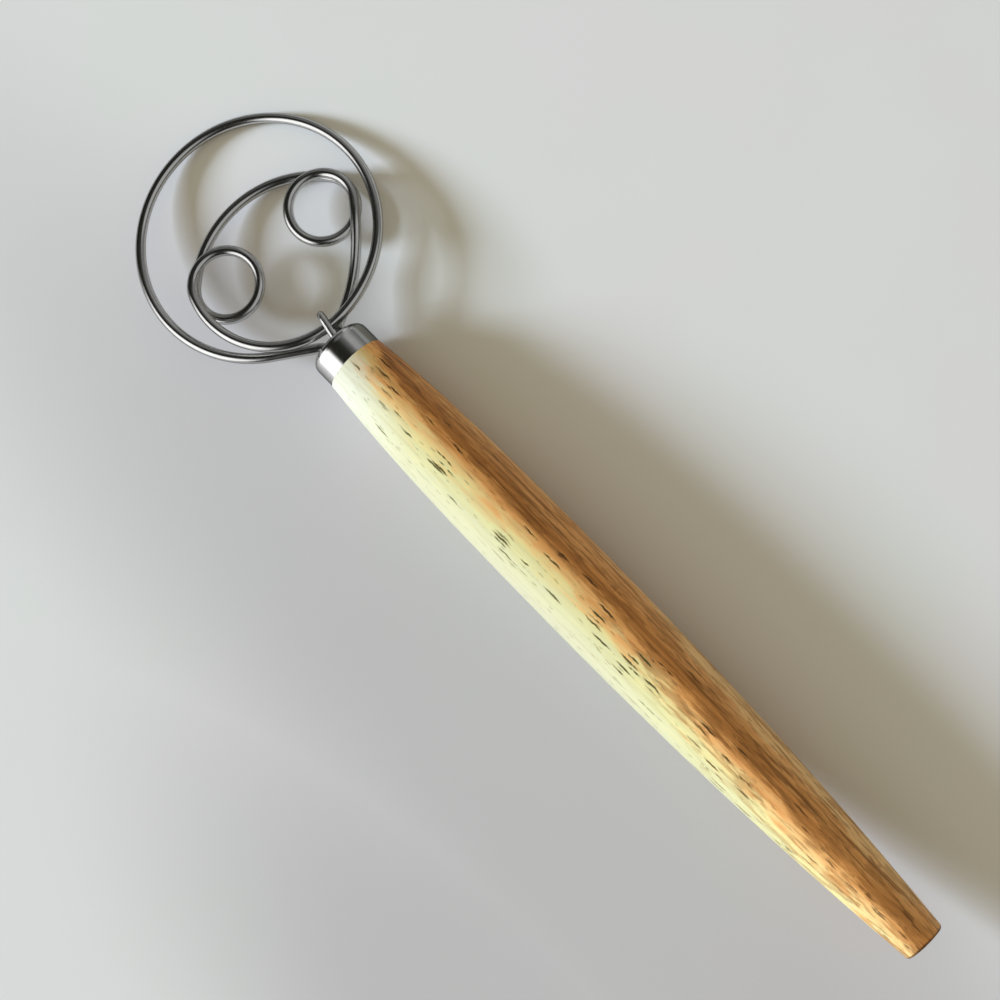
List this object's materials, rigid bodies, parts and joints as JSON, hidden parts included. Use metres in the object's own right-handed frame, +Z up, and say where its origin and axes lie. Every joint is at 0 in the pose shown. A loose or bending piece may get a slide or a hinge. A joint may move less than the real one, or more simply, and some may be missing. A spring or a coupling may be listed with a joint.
{
  "type": "dough whisk",
  "caption": "Dough whisk with a ring-shaped head bent from one steel wire, a keeper hook, a steel ferrule and a turned wooden handle, lying at rest.",
  "frame": {"origin": "on the table, under the middle of the whisk's bounding box as it lies at rest", "axes": "+X from the wire head towards the butt of the handle, +Y to the side on which the ring rests, +Z up"},
  "size_m": [0.3356, 0.0824, 0.0278],
  "materials": {
    "handle_wood": "oiled, streaked pale to brown",
    "ferrule_steel": "polished stainless steel",
    "wire_steel": "polished stainless steel wire",
    "set_adhesive": "set epoxy"
  },
  "bodies": {
    "root": {"wood_handle": "handle_wood", "ferrule": "ferrule_steel", "adhesive_plug": "set_adhesive", "whisk_wire": "wire_steel", "keeper_hook": "wire_steel"}
  },
  "joints": []
}
